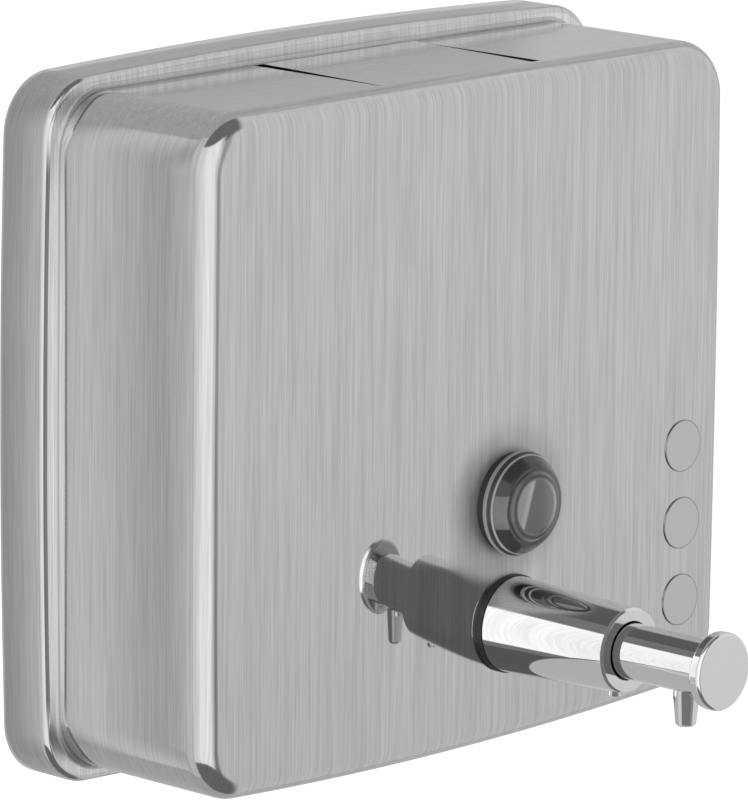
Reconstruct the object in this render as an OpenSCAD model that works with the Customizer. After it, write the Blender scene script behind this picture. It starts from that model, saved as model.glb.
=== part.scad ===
// Wall-mounted liquid soap dispenser: a stainless tank with a push valve, a level window and a filler lid.
// Millimetres. X to the right, Y into the wall, Z up. The origin is on the wall, in the middle of the rim.

/* [Rim] */
// Width of the rim that stands against the wall
rim_w = 180; // [160:1:220]
// Height of the rim
rim_h = 161.4; // [150:0.2:200]
// How far the rim stands out from the wall
rim_depth = 13.2; // [13:0.1:18]
// Corner radius of the rim, seen from the front
rim_corner = 13.5; // [12:0.5:22]
// How far the rim's sides bow out between the corners
rim_side_bow = 1.1; // [0.4:0.1:1.5]
// How far the rim's top and bottom bow out between the corners
rim_end_bow = 1.5; // [0.4:0.1:1.6]
// Radius of the rim's front edge
rim_edge = 1.6; // [1.5:0.1:1.6]

/* [Body] */
// Depth from the wall to the front panel
body_depth = 58.8; // [56:0.2:80]
// Step from the rim in to the body's sides
side_step = 4.3; // [3.5:0.1:5]
// Step from the rim down to the body's top
top_step = 4.4; // [4:0.1:8]
// Step from the rim up to the body's bottom
bottom_step = 2.8; // [2.8:0.1:5]
// Corner radius of the body, seen from the front
body_corner = 13.5; // [9:0.5:16]
// How far the body's sides bow out between the corners
body_side_bow = 0.4; // [0.4:0.05:1.6]
// How far the body's top bows out between the corners
body_top_bow = 0.3; // [0.3:0.05:1]
// How far the body's bottom bows out between the corners
body_bottom_bow = 2.1; // [2:0.1:2.5]
// Radius of the edge round the front panel
front_round = 5.4; // [3:0.2:7]
// Fillet where the body rises from the rim
step_fillet = 1.1; // [1:0.1:1.1]
// Thickness of the steel sheet
sheet = 1; // [0.6:0.1:1.2]

/* [Wall fixing] */
// Distance of the tank's back panel from the wall
panel_stand_off = 10; // [9.5:0.1:11]
// Width of the wall plate
plate_w = 130; // [120:1:140]
// Distance of the wall plate's top edge below the rim's top
plate_top_drop = 31; // [30:0.5:34]
// Distance of the wall plate's bottom edge above the rim's bottom
plate_bottom_rise = 7; // [6:0.5:20]
// Thickness of the wall plate
plate_t = 2; // [1.5:0.1:2.2]
// Distance between wall holes, sideways
hole_pitch_x = 110; // [90:1:112]
// Distance between wall holes, upwards
hole_pitch_z = 80; // [60:1:82]
// Diameter of the wall holes
hole_d = 5.5; // [4:0.1:6.5]
// Length of the lip that the tank hangs on
hook_lip = 10; // [8:0.5:11]
// Length of the hanger rail on the tank
rail_w = 100; // [60:1:120]
// Thickness of the hanger rail
rail_t = 1.5; // [1:0.1:1.6]
// Diameter of the screw that locks the tank to the plate
lock_screw_d = 4; // [3:0.1:4.4]

/* [Filler lid] */
// Width of the filler mouth
mouth_w = 52.2; // [46:0.2:64]
// Gap at the front of the lid
lid_gap = 0.8; // [0.5:0.1:0.8]
// Gap at each side of the lid
lid_side_gap = 1.5; // [0.5:0.1:1.6]
// How far the lid stands out of the top at its hinge
lid_proud = 0.3; // [0:0.05:0.3]
// Angle by which the lid slopes down to its front
lid_slope = 1; // [0:0.1:2]
// Width of the ledge that the lid rests on
ledge = 4; // [3:0.1:6]
// Thickness of the filler frame
frame_t = 2; // [1.8:0.1:2.4]
// Diameter of the hinge pin
pin_d = 2.4; // [2:0.1:2.6]
// Width of each hinge lug on the lid
lug_w = 6; // [4:0.5:9]
// Distance from the middle of the lid to the middle of each lug
lug_offset = 13; // [10:0.5:16]

/* [Level window] */
// Sideways place of the window and the valve
front_x = 12.4; // [-30:0.1:30]
// Height of the window's middle above the rim's bottom
sight_height = 58.8; // [58:0.1:100]
// Diameter of the window's base
sight_d = 24.2; // [22:0.1:28]
// How far the window stands out of its gasket
sight_rise = 5.7; // [5:0.1:7]
// Diameter of the window's threaded stem
sight_stem_d = 15; // [12:0.1:16]
// Thickness of the window's gasket
sight_gasket_t = 2; // [1:0.1:2.5]

/* [Valve] */
// Height of the valve's middle above the rim's bottom
valve_height = 30.7; // [30:0.1:31]
// Diameter of the chrome sleeve at its base
housing_base_d = 22; // [21:0.1:24]
// Diameter of the chrome sleeve at its front
housing_front_d = 19.4; // [18.8:0.1:20.6]
// Length of the chrome sleeve
housing_l = 35; // [33:0.2:35]
// Thickness of the gasket under the sleeve
valve_gasket_t = 1.4; // [1:0.1:3]
// Outside diameter of the pump cylinder
cylinder_d = 16; // [15.6:0.1:16.2]
// Bore of the pump cylinder
cylinder_bore = 13.2; // [13:0.1:13.6]
// Diameter of the plunger
plunger_d = 12.7; // [12:0.1:12.8]
// Wall of the plunger
plunger_wall = 1.3; // [1:0.1:1.6]
// How far the button's face stands out of the front panel
button_reach = 63.8; // [62:0.1:70]
// Diameter of the button
button_d = 17.6; // [15:0.1:20]
// Thickness of the button
button_t = 3.2; // [2.5:0.1:4]
// How far the button is pushed
button_travel = 12; // [6:0.5:12]
// Diameter of the spout where it leaves the plunger
spout_d = 5.8; // [5:0.1:6]
// Diameter of the spout at its end
spout_end_d = 4.7; // [4:0.1:5]
// Distance from the valve's axis down to the spout's end
spout_drop = 14; // [11:0.1:18]
// Diameter of the ball in the foot valve
ball_d = 5.8; // [5:0.1:6]
// How far the ball lifts
ball_lift = 1.5; // [0.8:0.1:1.8]
// Outside diameter of the suction tube
suction_d = 8; // [7:0.1:8.4]
// Gap from the suction tube's end to the tank's bottom
suction_gap = 3; // [2:0.1:8]
// Turns of the return spring
spring_turns = 8; // [6:1:10]
// Wire of the return spring
spring_wire = 1.1; // [0.8:0.1:1.2]

/* [Label discs] */
// Diameter of each blank disc
disc_d = 12.2; // [8:0.1:14]
// Distance from the rim's side in to the middle of the discs
disc_inset = 18.9; // [18:0.1:45]
// Height of the top disc above the rim's bottom
disc_height = 62.8; // [61:0.1:80]
// Distance from disc to disc
disc_pitch = 18.25; // [15:0.05:18.5]
// Thickness of the discs
disc_t = 0.2; // [0.1:0.05:0.4]

/* [Hidden] */

$fn = 96;
// Facets of the long shallow arcs of the outlines
fine_fn = 256;
// How far a cutter runs past the face that it opens
cut = 1;
// Radial room where a piece slides or turns in another
running = 0.05;
// Radial room where a piece is only put through another
easy = 0.15;
// Room between pieces that are welded or stacked
seam = 0.05;
// How far the corner arcs stand proud of the long arcs, so that they cross cleanly
corner_ease = 0.1;

// Outlines are lists: half width, height above and below the origin, side, top and bottom bows, corner radius
HALF_W = 0;
TOP = 1;
BOTTOM = 2;
SIDE_BOW = 3;
TOP_BOW = 4;
BOTTOM_BOW = 5;
CORNER = 6;
rim_bottom = -rim_h / 2;
body_half_w = rim_w / 2 - side_step;
body_top = rim_h / 2 - top_step;
body_bottom = rim_h / 2 - bottom_step;
rim_line = [rim_w / 2, rim_h / 2, rim_h / 2, rim_side_bow, rim_end_bow, rim_end_bow, rim_corner];
body_line = [body_half_w, body_top, body_bottom, body_side_bow, body_top_bow, body_bottom_bow, body_corner];

// Centre of the corner arc at the right, above or below
function corner_at(line, up) = [
    line[HALF_W] - line[CORNER] - line[SIDE_BOW],
    up > 0 ? line[TOP] - line[CORNER] - line[TOP_BOW] : line[CORNER] + line[BOTTOM_BOW] - line[BOTTOM]
];

// Radius of an arc that touches both corner arcs and bows out between them, to a hundredth of a millimetre
function bow_radius(half, bow, corner) = round(100 * (corner + (half ^ 2 + bow ^ 2) / (2 * bow))) / 100;
function side_half(line) = (corner_at(line, 1)[1] - corner_at(line, -1)[1]) / 2;
function side_middle(line) = (corner_at(line, 1)[1] + corner_at(line, -1)[1]) / 2;
function side_radius(line) = bow_radius(side_half(line), line[SIDE_BOW], line[CORNER]);
function side_centre(line) = [line[HALF_W] - side_radius(line), side_middle(line)];
function end_bow(line, up) = up > 0 ? line[TOP_BOW] : line[BOTTOM_BOW];
function end_radius(line, up) = bow_radius(corner_at(line, up)[0], end_bow(line, up), line[CORNER]);
function end_centre(line, up) = [0, up * ((up > 0 ? line[TOP] : line[BOTTOM]) - end_radius(line, up))];
function end_drop(line, x) = x ^ 2 / (2 * end_radius(line, 1));
function away(from, to) = (to - from) / norm(to - from);

// Wall fixing
plate_top = rim_h / 2 - plate_top_drop;
plate_bottom = rim_h / 2 - plate_bottom_rise;
plate_gap = 0.6;
lip_gap = 0.9;
hook_t = rail_t;
hook_back = plate_t + plate_gap + rail_t + lip_gap;
hook_web = 2;
rail_lip = 8;
rail_foot = 10;
flange_reach = 7;
flange_t = 2.5;
lock_screw_at = plate_t + flange_reach / 2;
lock_screw_past = 2;
lock_screw_l = rim_h / 2 - plate_bottom + flange_t + lock_screw_past;
socket_d = lock_screw_d / 2;
socket_l = lock_screw_d / 2;

// Filler mouth, lid and hinge: distances out from the wall and heights above the origin
mouth_margin = 0.3;
mouth_rear = rim_depth + step_fillet + mouth_margin;
mouth_front = body_depth - front_round - mouth_margin;
lid_w = mouth_w - 2 * lid_side_gap;
lid_rear_gap = lid_gap + 0.5;
lid_rear = mouth_rear + lid_rear_gap;
lid_front = mouth_front - lid_gap;
lid_under = body_top - sheet;
pin_wall = 1;
hinge_drop = pin_d / 2 + pin_wall;
hinge_z = lid_under + lid_proud - hinge_drop;
hinge_inset = 2.1;
hinge_out = lid_rear + hinge_inset;
lug_r = hinge_drop + sheet / 2;
frame_side = 5;
frame_w = mouth_w + 2 * frame_side;
frame_rear = mouth_rear + lid_gap / 2;
frame_top = lid_under - end_drop(body_line, frame_w / 2) - seam / 2;
ear_w = 2.7;
ear_inner = mouth_w / 2 + easy;
ear_wall = 1.5;
ear_half = pin_d / 2 + ear_wall;
ear_drop = hinge_drop + pin_d / 2 + ear_wall;
hinge_room = hinge_out + ear_half + easy;
pin_half = ear_inner + ear_w - easy;

// Level window
sight_z = rim_bottom + sight_height;
washer_t = 2;
nut_t = 4.5;
sight_r = sight_d / 2;
sight_stem_r = sight_stem_d / 2;
sight_stem_l = sheet + washer_t + nut_t + 1;
sight_wall = 2;
sight_bore_r = sight_stem_r - sight_wall;
sight_crown_t = 2.5;
sight_shoulder_r = 9.6;
sight_lip_r = 9;
sight_groove_r = 8.3;
sight_boss_r = 7.4;
sight_face_r = 6.3;
sight_dish = 0.3;
sight_gasket_inset = 0.7;
sight_gasket_r = sight_r - sight_gasket_inset;
sight_nut_r = 12.6;
sight_washer_r = 11;
sight_hole_r = sight_stem_r + 2 * easy;
valve_nut_r = 12.6;
valve_washer_r = 12;

// Valve: lengths out of the front panel, with minus into the tank
valve_z = rim_bottom + valve_height;
housing_back = valve_gasket_t;
housing_front = housing_back + housing_l;
housing_front_wall = 2;
housing_chamfer = 0.5;
housing_base_chamfer = [0.3, 0.3];
cylinder_r = cylinder_d / 2;
cylinder_bore_r = cylinder_bore / 2;
cylinder_inset = 12.4;
cylinder_front = housing_front - cylinder_inset;
cylinder_back_room = 8;
cylinder_back = -button_travel - cylinder_back_room;
cylinder_end_wall = 1.5;
cylinder_port_r = 2.5;
housing_bore_r = cylinder_r + easy;
stem_hole_r = cylinder_r + 2 * easy;
valve_gasket_lip = 0.3;
valve_gasket_r = housing_base_d / 2 + valve_gasket_lip;
plunger_r = plunger_d / 2;
plunger_bore_r = plunger_r - plunger_wall;
plunger_gap = 0.35;
plunger_hole_r = plunger_r + plunger_gap;
gland_wire_r = (cylinder_r - plunger_r - running) / 2;
gland_room = 0.2;
gland_at = cylinder_front + gland_wire_r + gland_room;
bush_back = gland_at + gland_wire_r + gland_room;
bush_front = housing_front - housing_front_wall - seam;
set_screw_inset = 4.5;
set_screw_at = housing_front - set_screw_inset;
set_screw_r = 1.5;
set_screw_proud = 1.4;
set_screw_end = cylinder_r + seam;
set_screw_drop = housing_front_d / 2 + set_screw_proud;
button_r = button_d / 2;
button_edge = 0.9;
button_back = button_reach - button_t;
button_plug_l = 4;
plug_room = 0.02;
spout_inset = 10.9;
spout_at = button_reach - spout_inset;
spout_shoulder = 0.5;
spout_collar = 0.8;
spout_wall = 0.75;
spout_shank_r = spout_d / 2 - spout_shoulder;
spout_bore_r = spout_end_d / 2 - spout_wall;
spout_chamfer = 0.5;
piston_inset = 4;
piston_l = 4;
piston_gap = 0.3;
piston_front = cylinder_front - piston_inset;
piston_back = piston_front - piston_l;
piston_r = cylinder_bore_r - piston_gap;
piston_plug_l = 5;
seal_wire_r = 0.9;
seal_ring_r = cylinder_bore_r - running - seal_wire_r;
seal_groove_r = seal_ring_r - seal_wire_r - running;
seal_at = (piston_front + piston_back) / 2;
outlet_stem_r = 1.2;
outlet_cap_gap = 1.1;
outlet_cap_r = plunger_bore_r - outlet_cap_gap;
outlet_bead = 0.35;
groove_room = 0.1;
outlet_cap_t = 1;
outlet_bead_t = 0.8;
flow_hole_r = 0.7;
flow_holes = 4;
flow_ring_r = (outlet_stem_r + outlet_cap_r) / 2;

// Foot valve, below and behind the pump cylinder
inlet_wall = 1.5;
inlet_r = cylinder_r + inlet_wall;
inlet_socket = 8;
inlet_l = 16;
inlet_back = cylinder_back - inlet_l;
port_at = cylinder_back - inlet_l / 2;
ball_r = ball_d / 2;
seat_r = 2;
chamber_gap = 0.4;
chamber_r = ball_r + chamber_gap;
seat_z = -5.5;
seat_t = 1.5;
ball_seat_gap = 0.2;
ball_z = seat_z + sqrt(ball_r ^ 2 - seat_r ^ 2) + ball_seat_gap;
chamber_top = ball_z + ball_r + ball_lift + chamber_gap;
port_wall = 2;
port_boss_r = suction_d / 2 + port_wall;
port_boss_drop = 13;
suction_r = suction_d / 2;
suction_wall = 1.4;
suction_bore_r = suction_r - suction_wall;
suction_top = seat_z - seat_t;
suction_l = suction_top + valve_z + body_bottom - sheet - suction_gap;
suction_slant = 20;

// Return spring
spring_back = cylinder_back + cylinder_end_wall + seam;
spring_front = piston_back - seam;
spring_gap = 0.8;
spring_r = cylinder_bore_r - spring_wire / 2 - spring_gap;
spring_steps = 16;
spring_sides = 6;

// Frames: local x to the right, y up and z out from the wall, then out from the front panel
module from_wall() {
    rotate([90, 0, 0]) children();
}

module on_front(z_place) {
    from_wall() translate([front_x, z_place, body_depth]) children();
}

// A cylinder between two lengths along z
module rod(radius, from, to) {
    translate([0, 0, from]) cylinder(r = radius, h = to - from);
}

module ring(outer, inner, from, to) {
    difference() {
        rod(outer, from, to);
        rod(inner, from - cut, to + cut);
    }
}

// A cylinder along x, centred
module cross_rod(radius, length) {
    rotate([0, 90, 0]) cylinder(r = radius, h = length, center = true);
}

module hex_nut(radius, bore, from, to) {
    difference() {
        translate([0, 0, from]) cylinder(r = radius, h = to - from, $fn = 6);
        rod(bore, from - cut, to + cut);
    }
}

// A ring of round wire
module wire_ring(ring_radius, wire_radius, at) {
    translate([0, 0, at]) rotate_extrude() translate([ring_radius, 0]) circle(r = wire_radius);
}

// The wedge that a corner arc rounds off, from its centre outwards
module corner_wedge(line, up) {
    corner = corner_at(line, up);
    side_way = 3 * line[CORNER] * away(side_centre(line), corner);
    end_way = 3 * line[CORNER] * away(end_centre(line, up), corner);
    polygon([corner, corner + side_way, corner + side_way + end_way, corner + end_way]);
}

// The flat area inside an outline, drawn in by an inset
module area(line, inset) {
    difference() {
        intersection() {
            translate(side_centre(line)) circle(r = side_radius(line) - inset, $fn = fine_fn);
            mirror([1, 0]) translate(side_centre(line)) circle(r = side_radius(line) - inset, $fn = fine_fn);
            translate(end_centre(line, 1)) circle(r = end_radius(line, 1) - inset, $fn = fine_fn);
            translate(end_centre(line, -1)) circle(r = end_radius(line, -1) - inset, $fn = fine_fn);
        }
        for (up = [1, -1], side = [0, 1]) mirror([side, 0]) difference() {
            corner_wedge(line, up);
            translate(corner_at(line, up)) circle(r = line[CORNER] - inset + corner_ease, $fn = fine_fn);
        }
    }
}

// A turned disc between two depths, with a round front edge and, if wanted, a flared foot at the rim's face
module turned(radius, from, to, edge, flare) {
    rotate_extrude($fn = fine_fn) {
        translate([0, from]) square([radius, to - from - edge]);
        translate([0, from]) square([radius - edge, to - from]);
        translate([radius - edge, to - edge]) circle(r = edge);
        if (flare > 0) {
            translate([0, from]) square([radius + flare, rim_depth - from]);
            translate([radius, rim_depth]) difference() {
                translate([-flare, 0]) square([2 * flare, flare]);
                translate([flare, flare]) circle(r = flare);
            }
        }
    }
}

// The block inside an outline between two depths
module block(line, inset, from, to, edge, flare = 0) {
    difference() {
        intersection() {
            translate(side_centre(line)) turned(side_radius(line) - inset, from, to, edge, flare);
            mirror([1, 0, 0]) translate(side_centre(line))
                turned(side_radius(line) - inset, from, to, edge, flare);
            translate(end_centre(line, 1)) turned(end_radius(line, 1) - inset, from, to, edge, flare);
            translate(end_centre(line, -1)) turned(end_radius(line, -1) - inset, from, to, edge, flare);
        }
        for (up = [1, -1], side = [0, 1]) mirror([side, 0, 0]) difference() {
            translate([0, 0, from - cut]) linear_extrude(to - from + 2 * cut) corner_wedge(line, up);
            translate(corner_at(line, up))
                turned(line[CORNER] - inset + corner_ease, from - 2 * cut, to, edge, flare);
        }
    }
}

// Shell and wall fixing
module body_shell() {
    color("silver") from_wall() difference() {
        union() {
            block(rim_line, 0, 0, rim_depth, rim_edge);
            block(body_line, 0, rim_depth / 2, body_depth, front_round, step_fillet);
        }
        block(rim_line, sheet, -cut, rim_depth - sheet, rim_edge - sheet);
        block(body_line, sheet, rim_depth / 2, body_depth - sheet, front_round - sheet);
        translate([-mouth_w / 2, body_top - sheet - cut, mouth_rear])
            cube([mouth_w, sheet + 2 * cut, mouth_front - mouth_rear]);
        translate([front_x, valve_z, body_depth]) rod(stem_hole_r, -sheet - cut, cut);
        translate([front_x, sight_z, body_depth]) rod(sight_hole_r, -sheet - cut, cut);
        translate([0, -rim_h / 2, lock_screw_at]) rotate([90, 0, 0])
            rod(lock_screw_d / 2 + easy, -sheet - cut, cut);
    }
}

module back_panel() {
    color("lightgray") from_wall() translate([0, 0, panel_stand_off])
        linear_extrude(sheet) area(rim_line, sheet + seam);
}

// Angle strip on the back panel that hooks over the wall plate's lip
module hanger_rail() {
    web_z = plate_top + hook_lip;
    lip_out = plate_t + plate_gap;
    color("gray") from_wall() translate([-rail_w / 2, 0, 0]) {
        translate([0, web_z, panel_stand_off - rail_t]) cube([rail_w, rail_foot, rail_t]);
        translate([0, web_z, lip_out]) cube([rail_w, rail_t, panel_stand_off - lip_out]);
        translate([0, web_z - rail_lip + rail_t, lip_out]) cube([rail_w, rail_lip, rail_t]);
    }
}

module wall_plate() {
    color("gainsboro") from_wall() difference() {
        union() {
            translate([-plate_w / 2, -plate_bottom, 0]) cube([plate_w, plate_top + plate_bottom, plate_t]);
            translate([-plate_w / 2, plate_top - hook_web, 0]) cube([plate_w, hook_web, hook_back + hook_t]);
            translate([-plate_w / 2, plate_top - hook_web, hook_back])
                cube([plate_w, hook_lip + hook_web, hook_t]);
            translate([-plate_w / 2, -plate_bottom, 0]) cube([plate_w, flange_t, plate_t + flange_reach]);
        }
        for (x = [-1, 1], z = [-1, 1])
            translate([x * hole_pitch_x / 2, z * hole_pitch_z / 2, 0]) rod(hole_d / 2, -cut, plate_t + cut);
        translate([0, -plate_bottom, lock_screw_at]) rotate([90, 0, 0])
            rod(lock_screw_d / 2 + running, -flange_t - cut, cut);
    }
}

module lock_screw() {
    color("dimgray") from_wall() translate([0, -rim_h / 2, lock_screw_at]) rotate([-90, 0, 0]) difference() {
        rod(lock_screw_d / 2, 0, lock_screw_l);
        translate([0, 0, -cut]) cylinder(d = socket_d, h = socket_l + cut, $fn = 6);
    }
}

// Filler frame, lid and hinge, with a frame on the hinge's axis that slopes with the lid
module lid_place() {
    translate([0, hinge_z, hinge_out]) rotate([lid_slope, 0, 0]) children();
}

module filler_frame() {
    color("lightgray") from_wall() difference() {
        union() {
            translate([-frame_w / 2, frame_top - frame_t, frame_rear])
                cube([frame_w, frame_t, mouth_front - frame_rear]);
            for (side = [-1, 1])
                translate([side * (ear_inner + ear_w / 2), frame_top - ear_drop / 2, hinge_out])
                    cube([ear_w, ear_drop, 2 * ear_half], center = true);
        }
        translate([-mouth_w / 2 + ledge, frame_top - frame_t - cut, hinge_room])
            cube([mouth_w - 2 * ledge, frame_t + 2 * cut, mouth_front - ledge - hinge_room]);
        translate([-ear_inner, frame_top - frame_t - cut, mouth_rear - cut])
            cube([2 * ear_inner, frame_t + 2 * cut, hinge_room - mouth_rear + cut]);
        translate([0, hinge_z, hinge_out]) cross_rod(pin_d / 2 + running, 2 * (ear_inner + ear_w));
        lid_place() translate([-mouth_w / 2, hinge_drop - seam, 0]) cube([mouth_w, frame_t, mouth_front]);
    }
}

module filler_lid() {
    color("silver") from_wall() difference() {
        union() {
            lid_place() translate([-lid_w / 2, hinge_drop, -hinge_inset])
                cube([lid_w, sheet, lid_front - lid_rear]);
            for (side = [-1, 1])
                translate([side * lug_offset, hinge_z, hinge_out]) cross_rod(lug_r, lug_w);
        }
        translate([0, hinge_z, hinge_out]) cross_rod(pin_d / 2 + running, lid_w);
    }
}

module lid_hinge_pin() {
    color("darkgray") from_wall() translate([0, hinge_z, hinge_out]) cross_rod(pin_d / 2, 2 * pin_half);
}

// Level window: a stepped base, a cone and a raised dished face, hollow from behind
module sight_lens() {
    base = sight_gasket_t;
    top = base + sight_rise;
    foot = [0.3, 0.4];
    step = [0.5, 0.3];
    edge = [0.3, 0.6];
    lower_rim = base + 0.18 * sight_rise;
    upper_rim = base + 0.32 * sight_rise;
    shoulder_top = base + 0.81 * sight_rise;
    lip_top = base + 0.88 * sight_rise;
    groove_floor = base + 0.86 * sight_rise;
    color([0.75, 0.78, 0.8, 0.5]) on_front(sight_z) rotate_extrude() polygon([
        [sight_bore_r, -sight_stem_l],
        [sight_stem_r, -sight_stem_l],
        [sight_stem_r, base],
        [sight_r - foot[0], base],
        [sight_r, base + foot[1]],
        [sight_r, lower_rim],
        [sight_r - step[0], lower_rim + step[1]],
        [sight_r - step[0], upper_rim],
        [sight_r - step[0] - edge[0], upper_rim + edge[1]],
        [sight_shoulder_r, shoulder_top],
        [sight_lip_r, lip_top],
        [sight_groove_r, groove_floor],
        [sight_boss_r, top],
        [sight_face_r, top],
        [sight_face_r - sight_dish, top - sight_dish],
        [0, top - sight_dish],
        [0, top - sight_crown_t],
        [sight_bore_r, top - sight_crown_t]
    ]);
}

module sight_gasket() {
    color("black") on_front(sight_z) ring(sight_gasket_r, sight_stem_r + easy, 0, sight_gasket_t);
}

module sight_washer() {
    color("black") on_front(sight_z)
        ring(sight_washer_r, sight_stem_r + easy, -sheet - washer_t, -sheet);
}

module sight_nut() {
    color("whitesmoke") on_front(sight_z)
        hex_nut(sight_nut_r, sight_stem_r + running, -sheet - washer_t - nut_t, -sheet - washer_t);
}

module label_discs() {
    color("silver") from_wall() for (i = [0 : 2])
        translate([rim_w / 2 - disc_inset, rim_bottom + disc_height - i * disc_pitch, body_depth])
            rod(disc_d / 2, 0, disc_t);
}

// Valve, fixed pieces
module valve_housing() {
    base_r = housing_base_d / 2;
    front_r = housing_front_d / 2;
    color("gainsboro") on_front(valve_z) difference() {
        rotate_extrude() polygon([
            [housing_bore_r, housing_back], [base_r - housing_base_chamfer[0], housing_back],
            [base_r, housing_back + housing_base_chamfer[1]], [front_r, housing_front - housing_chamfer],
            [front_r - housing_chamfer, housing_front], [plunger_hole_r, housing_front],
            [plunger_hole_r, housing_front - housing_front_wall],
            [housing_bore_r, housing_front - housing_front_wall]
        ]);
        translate([0, 0, set_screw_at]) rotate([90, 0, 0]) rod(set_screw_r + running, 0, base_r + cut);
    }
}

module valve_gasket() {
    color("black") on_front(valve_z) ring(valve_gasket_r, cylinder_r + easy, 0, valve_gasket_t);
}

module valve_washer() {
    color("black") on_front(valve_z) ring(valve_washer_r, cylinder_r + easy, -sheet - washer_t, -sheet);
}

module valve_nut() {
    color("whitesmoke") on_front(valve_z)
        hex_nut(valve_nut_r, cylinder_r + running, -sheet - washer_t - nut_t, -sheet - washer_t);
}

module housing_set_screw() {
    color("gainsboro") on_front(valve_z) translate([0, 0, set_screw_at]) rotate([90, 0, 0])
        rod(set_screw_r, set_screw_end, set_screw_drop);
}

module pump_cylinder() {
    color("whitesmoke") on_front(valve_z) difference() {
        rod(cylinder_r, cylinder_back, cylinder_front);
        rod(cylinder_bore_r, cylinder_back + cylinder_end_wall, cylinder_front + cut);
        rod(cylinder_port_r, cylinder_back - cut, cylinder_front);
    }
}

module gland_ring() {
    color("black") on_front(valve_z) wire_ring(plunger_r + running + gland_wire_r, gland_wire_r, gland_at);
}

module guide_bush() {
    color("black") on_front(valve_z) ring(cylinder_r, plunger_r + running, bush_back, bush_front);
}

module inlet_body() {
    color("whitesmoke") on_front(valve_z) difference() {
        union() {
            rod(inlet_r, inlet_back, cylinder_back + inlet_socket);
            translate([0, 0, port_at]) rotate([90, 0, 0]) rod(port_boss_r, 0, port_boss_drop);
        }
        rod(cylinder_r + running, cylinder_back, cylinder_back + inlet_socket + cut);
        rod(cylinder_port_r, port_at, cylinder_back + cut);
        translate([0, 0, port_at]) rotate([90, 0, 0]) {
            rod(chamber_r, -chamber_top, -seat_z);
            rod(seat_r, 0, port_boss_drop);
            rod(suction_r + running, -suction_top, port_boss_drop + cut);
        }
    }
}

module inlet_ball() {
    color("lightgray") on_front(valve_z) translate([0, ball_z, port_at]) sphere(r = ball_r);
}

module suction_tube() {
    color("white") on_front(valve_z) translate([0, suction_top, port_at]) rotate([90, 0, 0]) difference() {
        ring(suction_r, suction_bore_r, 0, suction_l);
        translate([0, 0, suction_l]) rotate([0, suction_slant, 0]) translate([-suction_d, -suction_d, 0])
            cube(2 * suction_d);
    }
}

// Valve, pieces that move with the button
module plunger_tube() {
    color("gainsboro") on_front(valve_z) difference() {
        ring(plunger_r, plunger_bore_r, piston_front, button_back);
        translate([0, 0, spout_at]) rotate([90, 0, 0]) rod(spout_shank_r + plug_room, 0, plunger_r + cut);
    }
}

// A disc with round edges, with a plug behind it
module push_button() {
    color("gainsboro") on_front(valve_z) {
        translate([0, 0, button_back]) rotate_extrude() {
            square([button_r - button_edge, button_t]);
            translate([0, button_edge]) square([button_r, button_t - 2 * button_edge]);
            for (z = [button_edge, button_t - button_edge])
                translate([button_r - button_edge, z]) circle(r = button_edge);
        }
        rod(plunger_bore_r - plug_room, button_back - button_plug_l, button_back + button_edge);
    }
}

module spout() {
    color("gainsboro") on_front(valve_z) translate([0, 0, spout_at]) difference() {
        rotate([90, 0, 0]) rotate_extrude() polygon([
            [spout_bore_r, plunger_bore_r], [spout_shank_r, plunger_bore_r], [spout_shank_r, plunger_r - cut],
            [spout_d / 2, plunger_r - cut], [spout_d / 2, plunger_r + spout_collar],
            [spout_end_d / 2, spout_drop - spout_chamfer], [spout_end_d / 2 - spout_chamfer, spout_drop],
            [spout_bore_r, spout_drop]
        ]);
        difference() {
            rod(plunger_r + plug_room, -spout_d, spout_d);
            rotate([90, 0, 0]) rod(spout_shank_r, 0, spout_drop);
        }
    }
}

module piston() {
    color("white") on_front(valve_z) difference() {
        union() {
            rod(piston_r, piston_back, piston_front);
            rod(plunger_bore_r - plug_room, piston_back, piston_front + piston_plug_l);
        }
        ring(cylinder_bore_r, seal_groove_r, seal_at - seal_wire_r - groove_room,
             seal_at + seal_wire_r + groove_room);
        rod(outlet_stem_r + plug_room, piston_back - cut, piston_front + piston_plug_l + cut);
        for (i = [1 : flow_holes])
            rotate(i * 360 / flow_holes) translate([flow_ring_r, 0, 0])
                rod(flow_hole_r, piston_back - cut, piston_front + piston_plug_l + cut);
    }
}

module piston_seal() {
    color("black") on_front(valve_z) wire_ring(seal_ring_r, seal_wire_r, seal_at);
}

// Rubber flap on a stem, held by a bead behind the piston
module outlet_valve() {
    cap_back = piston_front + piston_plug_l + plug_room;
    bead_front = piston_back - plug_room;
    color("dimgray") on_front(valve_z) {
        rod(outlet_stem_r, bead_front - outlet_bead_t, cap_back + outlet_cap_t);
        rod(outlet_cap_r, cap_back, cap_back + outlet_cap_t);
        rod(outlet_stem_r + outlet_bead, bead_front - outlet_bead_t, bead_front);
    }
}

// One unbroken tube of wire wound along a helix
module return_spring() {
    rings = spring_turns * spring_steps;
    last = rings * spring_sides;
    wire_r = spring_wire / 2;
    rise = spring_front - spring_back - spring_wire;
    points = [
        for (i = [0 : rings], k = [0 : spring_sides - 1])
            let (
                turn = 360 * spring_turns * i / rings,
                out = spring_r + wire_r * cos(360 * k / spring_sides),
                along = wire_r * sin(360 * k / spring_sides)
            )
            [out * cos(turn), out * sin(turn), spring_back + wire_r + rise * i / rings + along]
    ];
    walls = [
        for (i = [0 : rings - 1], k = [0 : spring_sides - 1])
            let (
                here = i * spring_sides,
                next = here + spring_sides,
                after = (k + 1) % spring_sides
            )
            each [[here + k, here + after, next + k], [here + after, next + after, next + k]]
    ];
    caps = [
        for (k = [1 : spring_sides - 2])
            each [[0, k + 1, k], [last, last + k, last + k + 1]]
    ];
    color("lightgray") on_front(valve_z) polyhedron(points, concat(walls, caps));
}

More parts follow.
